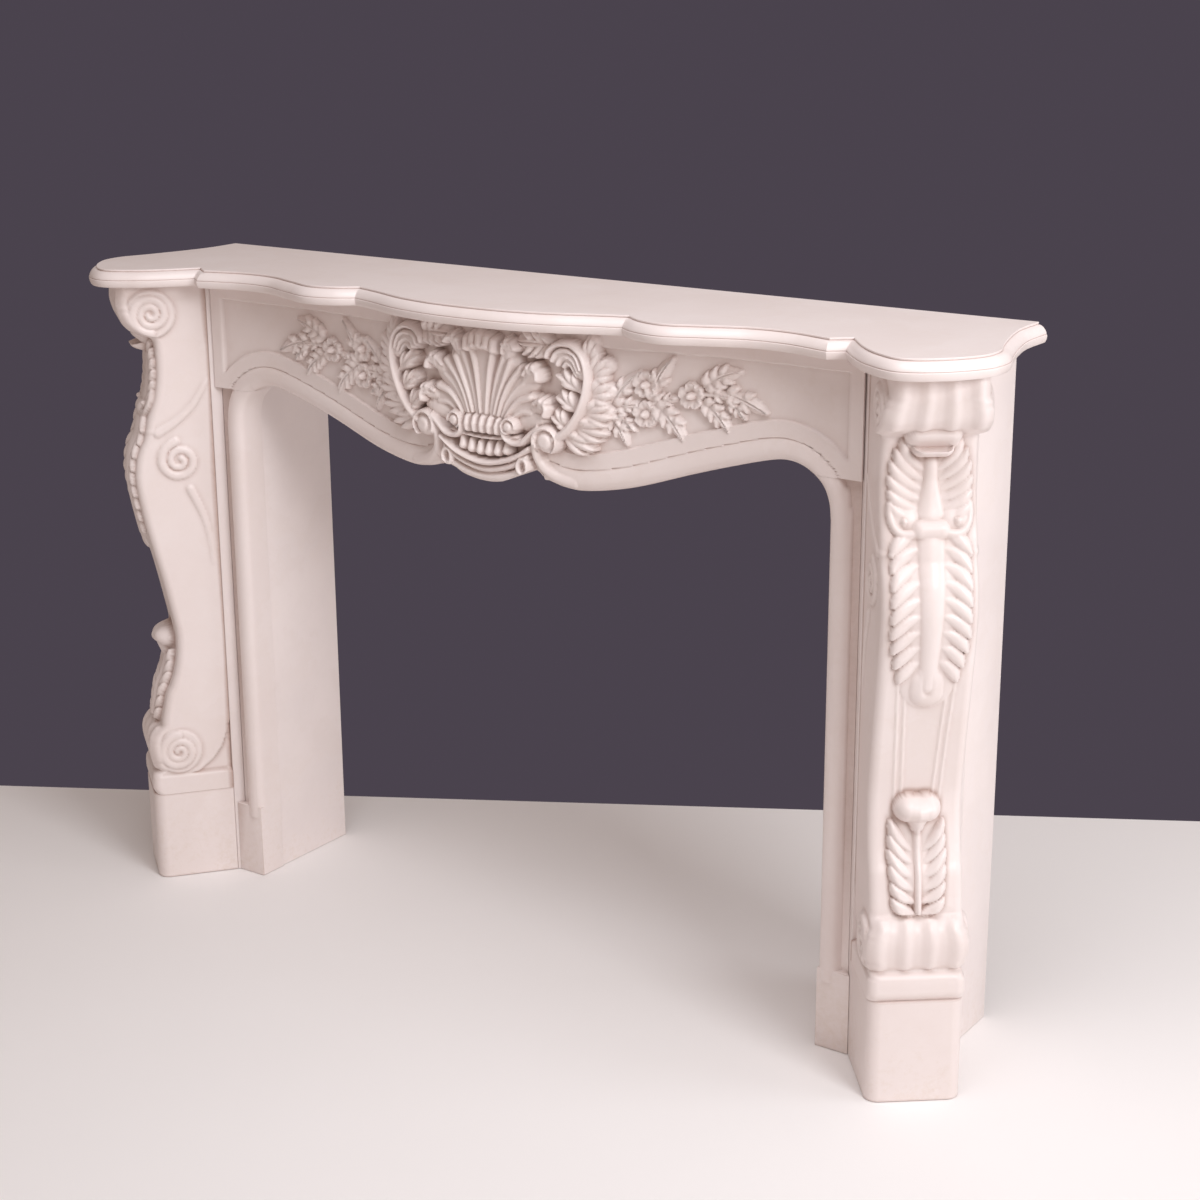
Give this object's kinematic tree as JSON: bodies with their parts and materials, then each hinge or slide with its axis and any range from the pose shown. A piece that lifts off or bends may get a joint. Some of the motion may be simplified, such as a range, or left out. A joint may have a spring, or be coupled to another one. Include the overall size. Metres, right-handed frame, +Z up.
{
  "type": "fireplace mantel",
  "caption": "Carved stone fireplace mantel with a serpentine moulded shelf, an arched frieze with a shell cartouche and flower sprays, and splayed scroll consoles.",
  "frame": {"origin": "on the floor, under the centre of the whole mantel's box", "axes": "+X along the shelf towards the mantel's right-hand end as seen from the room, -Y out into the room, +Y to the wall, +Z up"},
  "size_m": [1.6746, 0.3671, 1.1],
  "materials": {
    "carved_stone": "satin",
    "slab_stone": "satin"
  },
  "bodies": {
    "root": {"shelf": "carved_stone", "frieze": "carved_stone", "left_console": "carved_stone", "left_console_plinth": "carved_stone", "left_jamb": "carved_stone", "left_pilaster": "slab_stone", "left_inner_return": "slab_stone", "left_outer_return": "slab_stone", "right_console": "carved_stone", "right_console_plinth": "carved_stone", "right_jamb": "carved_stone", "right_pilaster": "slab_stone", "right_inner_return": "slab_stone", "right_outer_return": "slab_stone"}
  },
  "joints": []
}
